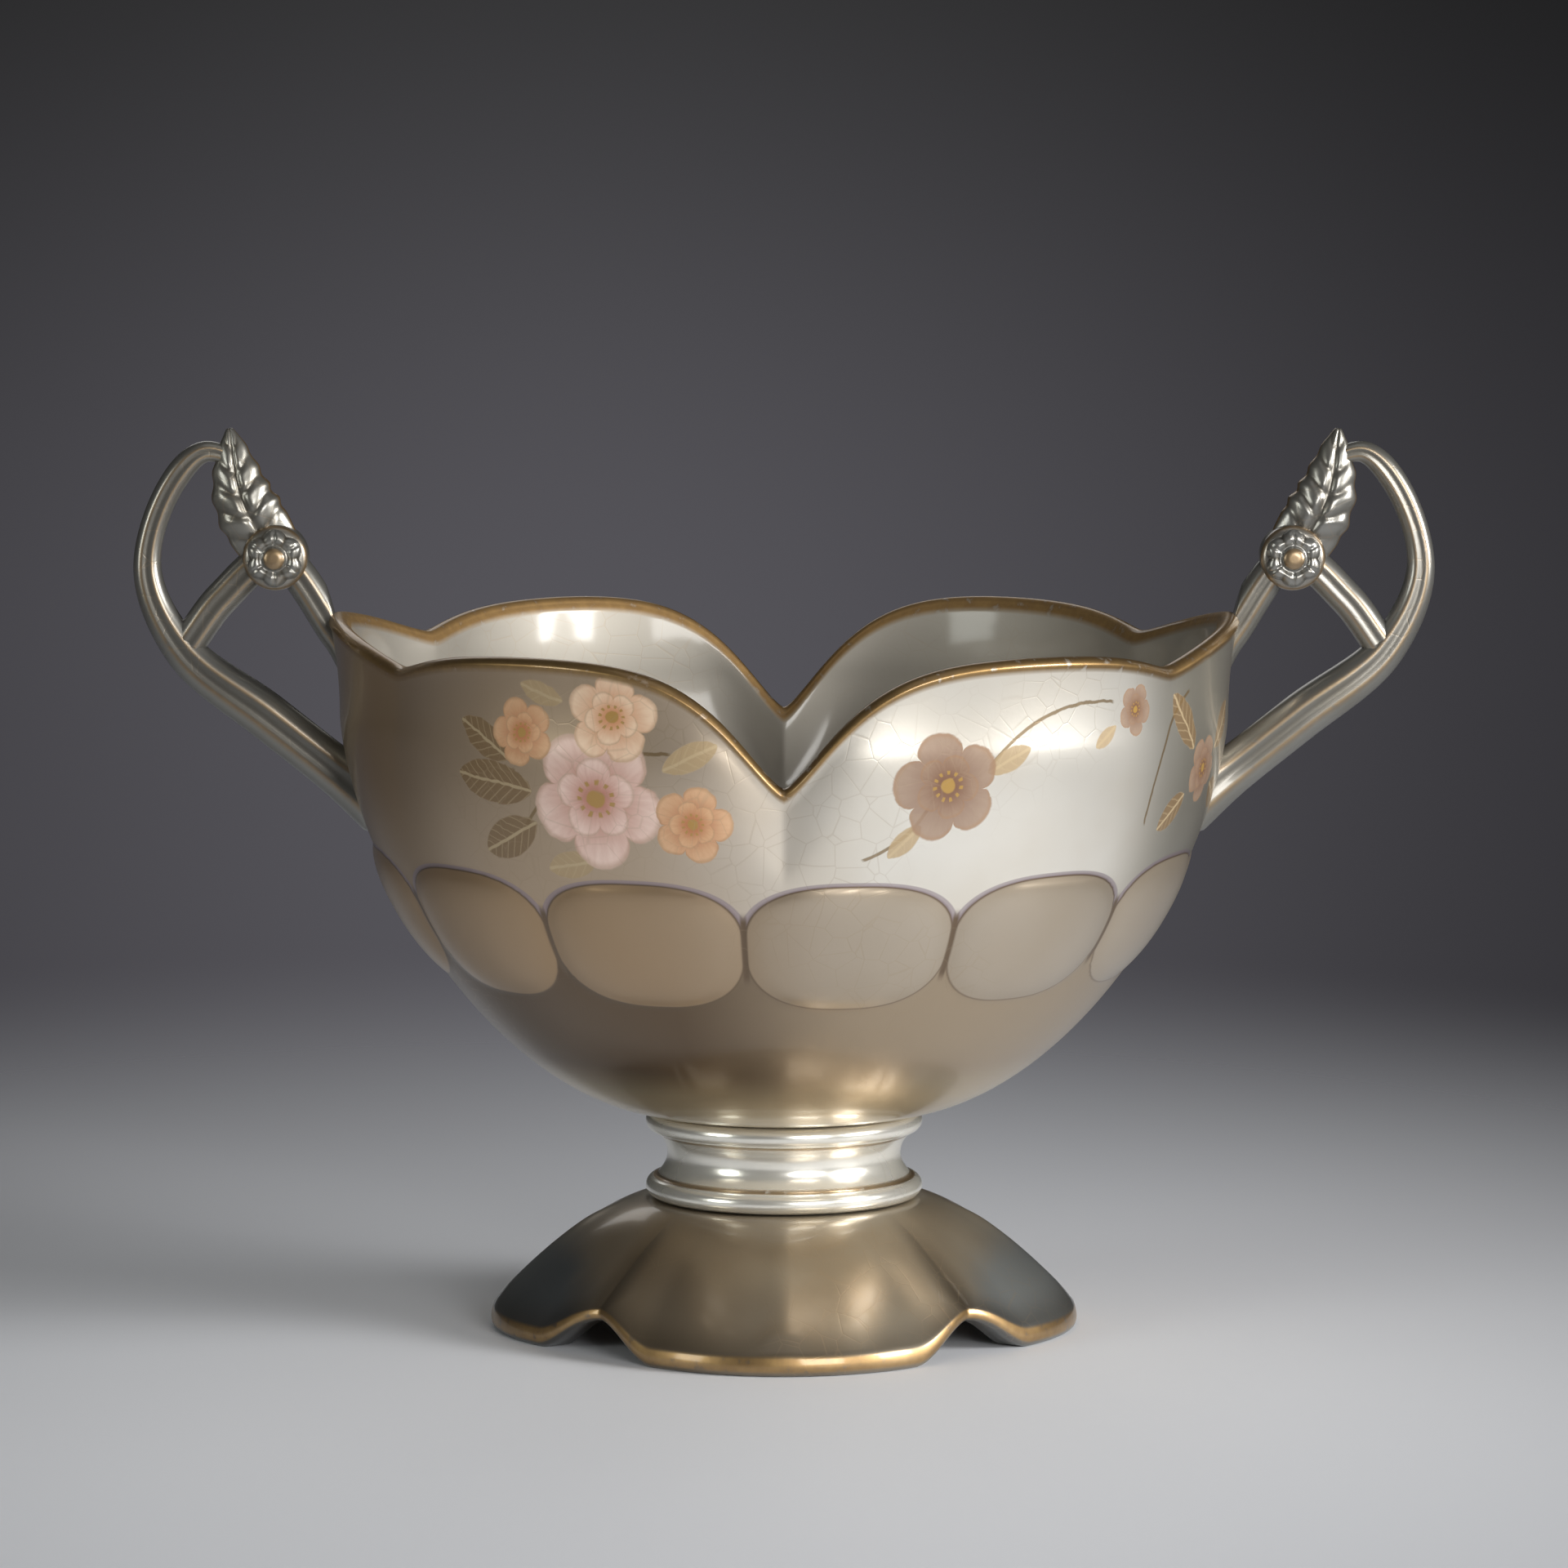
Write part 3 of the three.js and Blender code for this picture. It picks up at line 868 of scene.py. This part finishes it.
def makeFoot(material):
    reach = foot["radius"]
    stand = reach - foot["stand"]
    edge = foot["edge"]
    top = foot["height"]
    rim = rounded([(stand, 0), (reach - foot["edgeUnder"], 0), (reach, edge / 2),
                   (reach - foot["edgeOver"], edge)], foot["edgeRound"])
    rows = [(r, z, 1.0) for r, z in rim]
    for i in range(1, foot["domeRows"] + 1):
        s = 1 - i / foot["domeRows"]
        z = edge + (top - edge) * (1 - s ** foot["dome"])
        rows.append((lerp(stem["beadReach"], reach, s), z, 1.0))
    high = top + bowl["spigotDepth"]
    low = top - foot["wall"]
    neck = rounded([(stem["beadReach"] - foot["shelf"], top), (bowl["spigot"], top),
                    (bowl["spigot"], high), (foot["bore"], high), (foot["bore"], low)],
                   bowl["spigotRound"])
    rows += [(r, z, 0.0) for r, z in neck]
    for i in range(1, foot["vaultRows"]):
        s = i / foot["vaultRows"]
        rows.append((lerp(foot["bore"], stand, s), low * (1 - s ** foot["vault"]), 0.0))
    fire(turned(rows, foot["columns"], footShape, closed=True), "foot", material)


# handles: places are measured out from the bowl's radius and up from the crest of its rim
handle = {
    "rootDrop": 37.0,
    "rootSink": 4.0,
    "wallSink": 1.2,
    "elbow": (36.0, -6.0),
    "reach": (44.0, 12.0),
    "shoulder": (39.5, 30.0),
    "crown": (31.0, 39.5),
    "tip": (25.0, 45.0),
    "boss": (14.5, 15.5),
    "leafJoin": 0.75,  # how far up the leaf the arm ends
    "armThick": 11.0,
    "loopThick": 6.0,
    "endThick": 4.0,
    "armDepth": 10.0,
    "loopTaper": (0.25, 0.75),
    "endTaper": (0.85, 1.0),
    "armFlare": (0.25, 0.06),  # how much wider at the wall, and over which share of the length
    "armSteps": 110,
    "armSides": 48,
    "armMitre": 0.14,
    "strapThick": 8.0,
    "strapFlare": (0.2, 0.07),
    "strapSink": (2.5, 3.5),
    "strapBow": 1.5,
    "strapShort": 2.0,
    "strapSteps": 80,
    "strapSides": 40,
    "strapMitre": 0.22,
    "flute": 0.16,
    "fluteWidth": 0.34,
    "flutePool": 0.8,
    "fluteGilt": (0.42, 0.07),  # where the gilt line runs beside the flute, and its width
    "giltShare": 0.8,
    "bossRadius": 7.6,
    "bossDepth": 9.6,
    "bossRound": 2.6,
    "bossRoundSteps": 8,
    "bossSides": 64,
    "bossGilt": (1.0, 0.5),
    "glaze": {
        "base": tint(0.275, 0.27, 0.25),
        "warm": tint(0.23, 0.22, 0.19),
        "pool": tint(0.11, 0.095, 0.07),
        "rough": 0.28,
        "lustre": 0.75,
    },
}


def spot(name):
    out, up = handle[name]
    return Vector((bowl["radius"] + out, 0, crest + up))


# an even run of points on a smooth curve through a few places
def smoothPath(places, steps):
    ends = [places[0] * 2 - places[1], *places, places[-1] * 2 - places[-2]]
    fine = []
    for p0, p1, p2, p3 in zip(ends, ends[1:], ends[2:], ends[3:]):
        d0, d1, d2 = [math.sqrt((b - a).length) for a, b in ((p0, p1), (p1, p2), (p2, p3))]
        t1 = ((p1 - p0) / d0 - (p2 - p0) / (d0 + d1) + (p2 - p1) / d1) * d1
        t2 = ((p2 - p1) / d1 - (p3 - p1) / (d1 + d2) + (p3 - p2) / d2) * d1
        for i in range(curveSteps):
            t = i / curveSteps
            bend = (2 * p1 - 2 * p2 + t1 + t2) * t ** 3 + (3 * p2 - 3 * p1 - 2 * t1 - t2) * t ** 2
            fine.append(bend + t1 * t + p1)
    fine.append(places[-1])
    lengths = [0.0]
    for a, b in zip(fine, fine[1:]):
        lengths.append(lengths[-1] + (b - a).length)
    path = []
    at = 0
    for i in range(steps + 1):
        want = lengths[-1] * i / steps
        while at < len(fine) - 2 and lengths[at + 1] < want:
            at += 1
        share = (want - lengths[at]) / (lengths[at + 1] - lengths[at])
        path.append(fine[at].lerp(fine[at + 1], share))
    return path


# a bar along a path: section(t, angle) gives offsets in the handle's plane, across it, and marks;
# over its first mitred share the outer side is drawn back, so the end meets the wall without a step
def bar(path, sides, section, mitred=0.0):
    clay = Clay()
    across = Vector((0, 1, 0))
    rings = []
    last = len(path) - 1
    for i, centre in enumerate(path):
        ahead = (path[min(i + 1, last)] - path[max(i - 1, 0)]).normalized()
        normal = ahead.cross(across)
        ring = []
        for k in range(sides):
            inPlane, sideways, marks = section(i / last, 2 * math.pi * k / sides)
            point = centre + normal * inPlane + across * sideways
            if i < mitred * last:
                back = max(0.0, normal.x * inPlane / ahead.x)
                point -= ahead * back * smooth(i / last, mitred, 0)
            ring.append(clay.add(point, **marks))
        rings.append(ring)
    clay.skin(rings, capped=True)
    return clay


# presses the end of a bar on to the bowl's wall, a little under its surface
def pressed(clay, endPoints):
    def press(index, point):
        limit = wallRadius(point.z) - handle["wallSink"]
        out = math.hypot(point.x, point.y)
        if out < limit or index < endPoints:
            return Vector((point.x * limit / out, point.y * limit / out, point.z))
        return point

    clay.points = [press(i, p) for i, p in enumerate(clay.points)]
    return clay


# a round section with a flute down both faces and gilt lines beside it
def fluted(angle, thick, depth):
    c = math.cos(angle)
    s = math.sin(angle)
    groove = bump(c, handle["fluteWidth"])
    line, width = handle["fluteGilt"]
    # the flute is darkened as pooled glaze and painted shade
    marks = {
        "gilt": handle["giltShare"] * bump(abs(c) - line, width),
        "pool": handle["flutePool"] * groove,
    }
    return c * thick / 2, s * depth / 2 * (1 - handle["flute"] * groove), marks


def flare(t, more, reach):
    return 1 + more * bump(t, reach)


def outerScroll():
    rootHeight = crest - handle["rootDrop"]
    root = Vector((wallRadius(rootHeight), 0, rootHeight))
    elbow = spot("elbow")
    sunk = root - (elbow - root).normalized() * handle["rootSink"]
    end = spot("boss").lerp(spot("tip"), handle["leafJoin"])
    path = smoothPath([sunk, root.lerp(elbow, 0.5), elbow, spot("reach"), spot("shoulder"),
                       spot("crown"), end], handle["armSteps"])

    def section(t, angle):
        def taper(arm):
            loop = lerp(arm, handle["loopThick"], smooth(t, *handle["loopTaper"]))
            thick = lerp(loop, handle["endThick"], smooth(t, *handle["endTaper"]))
            return flare(t, *handle["armFlare"]) * thick

        return fluted(angle, taper(handle["armThick"]), taper(handle["armDepth"]))

    sides = handle["armSides"]
    return pressed(bar(path, sides, section, handle["armMitre"]), sides)


def innerScroll():
    lip = Vector((wallRadius(crest), 0, crest))
    inwards, down = handle["strapSink"]
    boss = spot("boss")
    elbow = spot("elbow")
    bow = handle["strapBow"]
    bend = boss.lerp(elbow, 0.5) + Vector((bow, 0, bow))
    end = elbow + (bend - elbow).normalized() * handle["strapShort"]
    sunk = lip - Vector((inwards, 0, down))
    path = smoothPath([sunk, lip, boss, bend, end], handle["strapSteps"])
    thick = handle["strapThick"]

    def section(t, angle):
        return fluted(angle, thick * flare(t, *handle["strapFlare"]), thick)

    sides = handle["strapSides"]
    strap = pressed(bar(path, sides, section, handle["strapMitre"]), sides)
    half = handle["bossDepth"] / 2
    reach = handle["bossRadius"]
    rows = rounded([(0, -half), (reach, -half), (reach, half), (0, half)],
                   handle["bossRound"], handle["bossRoundSteps"])
    line, width = handle["bossGilt"]

    def shape(row, angle):
        r, z = row
        return r, z, angle, {"gilt": handle["giltShare"] * bump(abs(z) - half + line, width)}

    eye = turned(rows, handle["bossSides"], shape)
    return strap.joined(eye.moved(lambda p: Vector((boss.x + p.x, p.z, boss.z + p.y))))


# leaf: stands on the boss, toothed and veined
leaf = {
    "width": 15.0,
    "depth": 10.0,
    "tip": 1.2,
    "bow": 0.08,
    "steps": 90,
    "sides": 64,
    "start": 0.3,  # how far along its swell the leaf begins
    "full": 0.8,
    "teeth": 6,
    "toothShare": 0.05,
    "toothFrom": (0.2, 0.35),
    "thin": 0.62,  # share of its depth down in the boss
    "thinTo": (0.12, 0.4),
    "ribWidth": 0.13,
    "ribDepth": 0.26,
    "veinSlant": 0.9,
    "veinWidth": 0.16,
    "veinDepth": 0.13,
    "veinPool": 0.8,
    "giltEdge": (0.93, 0.98),
    "giltShare": 0.85,
}


def thumbLeaf():
    boss = spot("boss")
    span = spot("tip") - boss
    bow = Vector((span.z, 0, -span.x)) * leaf["bow"]
    path = smoothPath([boss, boss + span * 0.5 + bow, boss + span], leaf["steps"])

    def section(t, angle):
        c = math.cos(angle)
        s = math.sin(angle)
        swell = max(0.0, math.sin(math.pi * lerp(leaf["start"], 1.0, t))) ** leaf["full"]
        tooth = math.sin(2 * math.pi * leaf["teeth"] * t) * smooth(t, *leaf["toothFrom"])
        width = lerp(leaf["tip"], leaf["width"], swell) * (1 + leaf["toothShare"] * tooth)
        thin = lerp(leaf["thin"], 1.0, smooth(t, *leaf["thinTo"]))
        depth = lerp(leaf["tip"], leaf["depth"], swell) * thin
        rib = bump(c, leaf["ribWidth"])
        fromVein = offFrom(leaf["teeth"] * t - leaf["veinSlant"] * abs(c), 0, 1.0)
        vein = bump(fromVein, leaf["veinWidth"]) * (1 - rib) * (1 - abs(c) ** 4)
        carved = 1 - leaf["ribDepth"] * rib - leaf["veinDepth"] * vein
        # rib and veins are darkened as pooled glaze and painted shade
        marks = {
            "gilt": leaf["giltShare"] * smooth(abs(c), *leaf["giltEdge"]),
            "pool": max(rib, leaf["veinPool"] * vein),
        }
        return c * width / 2, s * depth / 2 * carved, marks

    return bar(path, leaf["sides"], section)


# sprig: a pressed rosette with a gilt button, one on each face of a boss
sprig = {
    "radius": 6.8,
    "height": 3.2,
    "outline": ((0, 0), (0.94, 0), (1, 0.25), (0.85, 0.62), (0.62, 0.74), (0.42, 0.46),
                (0.36, 0.86), (0.2, 1), (0, 1)),
    "round": 0.9,
    "roundSteps": 5,
    "columns": 96,
    "sink": 0.1,
    "petals": 6,
    "petalsFrom": 0.4,  # share of the radius at which the petals begin
    "creaseWidth": 0.02,
    "creaseOut": (0.0, 0.3),
    "creaseUp": (0.6, 1.4),
    "creaseDepth": 0.35,
    "cleftIn": 0.16,
    "cleftDown": 0.3,
    "cleftPool": (0.55, 0.95),
    "cleftOut": (0.0, 0.2),
    "buttonOut": (2.6, 2.2),
    "buttonUp": (1.6, 2.2),
    "buttonGilt": 0.7,
}


def rosette():
    outline = [(r * sprig["radius"], z * sprig["height"]) for r, z in sprig["outline"]]
    rows = rounded(outline, sprig["round"], sprig["roundSteps"])

    def shape(row, angle):
        r, z = row
        start = sprig["petalsFrom"]
        outer = max(0.0, r / sprig["radius"] - start) / (1 - start)
        turns = abs(math.cos(sprig["petals"] / 2 * angle))
        crease = bump(turns - 1, sprig["creaseWidth"]) * smooth(outer, *sprig["creaseOut"])
        crease *= smooth(z, *sprig["creaseUp"])
        cleft = outer * (1 - turns)
        button = smooth(r, *sprig["buttonOut"]) * smooth(z, *sprig["buttonUp"])
        # the clefts are darkened as pooled glaze and painted shade
        pool = smooth(1 - turns, *sprig["cleftPool"]) * smooth(outer, *sprig["cleftOut"])
        marks = {"gilt": sprig["buttonGilt"] * button, "pool": pool}
        up = z - sprig["creaseDepth"] * crease - sprig["cleftDown"] * cleft
        return r * (1 - sprig["cleftIn"] * cleft), up, angle, marks

    return turned(rows, sprig["columns"], shape)


def makeHandles(material):
    boss = spot("boss")
    seat = handle["bossDepth"] / 2 - sprig["sink"]
    shapes = {"outer_scroll": outerScroll, "inner_scroll": innerScroll, "thumb_leaf": thumbLeaf}
    for side, sign in (("left", -1), ("right", 1)):
        def onSide(p):
            return Vector((sign * p.x, sign * p.y, p.z))

        for name, shape in shapes.items():
            fire(shape().moved(onSide), f"{side}_{name}", material)
        for face, towards in (("front", -1), ("back", 1)):
            def onBoss(p):
                return Vector((sign * boss.x + p.x, towards * (seat + p.z), boss.z + p.y))

            fire(rosette().moved(onBoss), f"{side}_{face}_rosette", material)


bowlGlaze = glaze("bowlGlaze", bowl["glaze"], paintBowl)
stemGlaze = glaze("stemGlaze", stem["glaze"])
footGlaze = glaze("footGlaze", foot["glaze"], paintFoot)
handleGlaze = glaze("handleGlaze", handle["glaze"])
print("glazes mixed")
makeFoot(footGlaze)
makeStem(stemGlaze)
makeBowl(bowlGlaze)
makeHandles(handleGlaze)


# studio: a pale floor whose fade into a dark grey room paints a pool of light, one main light and
# four weaker ones
studio = {
    "floor": tint(0.785, 0.805, 0.85),
    "floorRough": 0.6,
    "floorRadius": 0.8,
    "floorSides": 128,
    # painted pool of light: the floor fades out from here, sooner at the sides
    "lightest": (-0.04, -0.075, 0.0),  # where the floor is lightest
    "sideFade": (1.4, 1, 1),  # it fades sooner towards the sides
    "fade": (0.78, 0.10),
    "roomLow": tint(0.092, 0.089, 0.101),
    "roomHigh": tint(0.028, 0.028, 0.028),
    "roomRise": (-0.09, 0.04),
    "roomDim": tint(0.0, 0.0, 0.0),
    # where the room starts to dim towards a side, where that ends, and how far it goes
    "dimRight": (-0.03, 0.14, 0.62),
    "dimLeft": (-0.03, -0.15, 0.40),
    "ambient": tint(0.9, 0.9, 0.92),
    "ambientStrength": 0.08,
    "aim": Vector((0, 0, 0.1257)),
    "distance": 1.6,
    "elevation": math.radians(6),
    "lens": 159.6,
    "sensor": 36.0,
    # azimuth from the camera towards the right, elevation, distance, width, height, watts, colour
    "lamps": {
        "key": (67, 14, 1.3, 0.46, 0.44, 17.8, (1.0, 0.99, 0.97)),
        "front": (22, 11, 1.4, 0.6, 0.44, 9.2, (1.0, 0.99, 0.97)),
        "fill": (-56, 10, 1.4, 0.4, 0.5, 3.7, (0.97, 1.0, 0.95)),
        "top": (10, 70, 1.3, 0.8, 0.8, 0.7, (1.0, 1.0, 1.0)),
        "back": (190, 30, 1.5, 0.8, 0.6, 1.5, (1.0, 1.0, 1.0)),
    },
}


def makeFloor():
    mesh = bpy.data.meshes.new("floor")
    sides = studio["floorSides"]
    turns = [2 * math.pi * k / sides for k in range(sides)]
    edge = [Vector((math.cos(a), math.sin(a), 0)) * studio["floorRadius"] for a in turns]
    mesh.from_pydata(edge, [], [tuple(range(sides))])
    floor = bpy.data.objects.new("floor", mesh)
    bpy.context.scene.collection.objects.link(floor)
    material = bpy.data.materials.new("floorPaper")
    tree = Tree(material)
    where = tree.add("ShaderNodeTexCoord", {}, {}, "Object")
    kind = "ShaderNodeVectorMath"
    off = tree.add(kind, {"operation": "SUBTRACT"}, {0: where, 1: studio["lightest"]})
    drawn = tree.add(kind, {"operation": "MULTIPLY"}, {0: off, 1: studio["sideFade"]})
    far = tree.add(kind, {"operation": "LENGTH"}, {0: drawn}, "Value")
    shader = tree.add("ShaderNodeBsdfPrincipled", {}, {
        "Base Color": studio["floor"],
        "Roughness": studio["floorRough"],
        "Alpha": tree.ramp(far, *studio["fade"]),
    })
    tree.add("ShaderNodeOutputMaterial", {}, {"Surface": shader})
    mesh.materials.append(material)


# the camera and reflections see the grey room, and a weak even light comes from all sides
def makeRoom():
    world = bpy.data.worlds.new("room")
    bpy.context.scene.world = world
    tree = Tree(world)
    right, _, up = tree.split(tree.add("ShaderNodeTexCoord", {}, {}, "Generated"))
    color = tree.mix(tree.ramp(up, *studio["roomRise"]), studio["roomLow"], studio["roomHigh"])
    for start, end, share in (studio["dimRight"], studio["dimLeft"]):
        color = tree.mix(share * tree.ramp(right, start, end), color, studio["roomDim"])
    seen = tree.add("ShaderNodeBackground", {}, {"Color": color, "Strength": 1.0})
    light = tree.add("ShaderNodeBackground", {}, {
        "Color": studio["ambient"],
        "Strength": studio["ambientStrength"],
    })
    ray = tree.add("ShaderNodeLightPath", {}, {}, "Is Camera Ray")
    gloss = tree.add("ShaderNodeLightPath", {}, {}, "Is Glossy Ray")
    both = tree.add("ShaderNodeMixShader", {}, {0: ray + gloss, 1: light, 2: seen})
    tree.add("ShaderNodeOutputWorld", {}, {"Surface": both})


# hangs a lamp or the camera round the aim, looking at it
def hang(name, data, azimuth, elevation, distance):
    flat = math.cos(elevation)
    back = Vector((math.sin(azimuth) * flat, -math.cos(azimuth) * flat, math.sin(elevation)))
    thing = bpy.data.objects.new(name, data)
    bpy.context.scene.collection.objects.link(thing)
    thing.rotation_mode = "QUATERNION"
    thing.location = studio["aim"] + back * distance
    thing.rotation_quaternion = (-back).to_track_quat("-Z", "Y")
    return thing


def makeLamps():
    for name, values in studio["lamps"].items():
        azimuth, elevation, distance, width, height, watts, color = values
        light = bpy.data.lights.new(name, "AREA")
        light.shape = "RECTANGLE"
        light.size = width
        light.size_y = height
        light.energy = watts
        light.color = color
        hang(name, light, math.radians(azimuth), math.radians(elevation), distance)


def makeCamera():
    lens = bpy.data.cameras.new("camera")
    lens.sensor_width = studio["sensor"]
    lens.lens = studio["lens"]
    camera = hang("camera", lens, 0.0, studio["elevation"], studio["distance"])
    bpy.context.scene.camera = camera


makeFloor()
makeRoom()
makeLamps()
makeCamera()
bpy.context.scene.view_settings.view_transform = "Standard"
print("studio set")
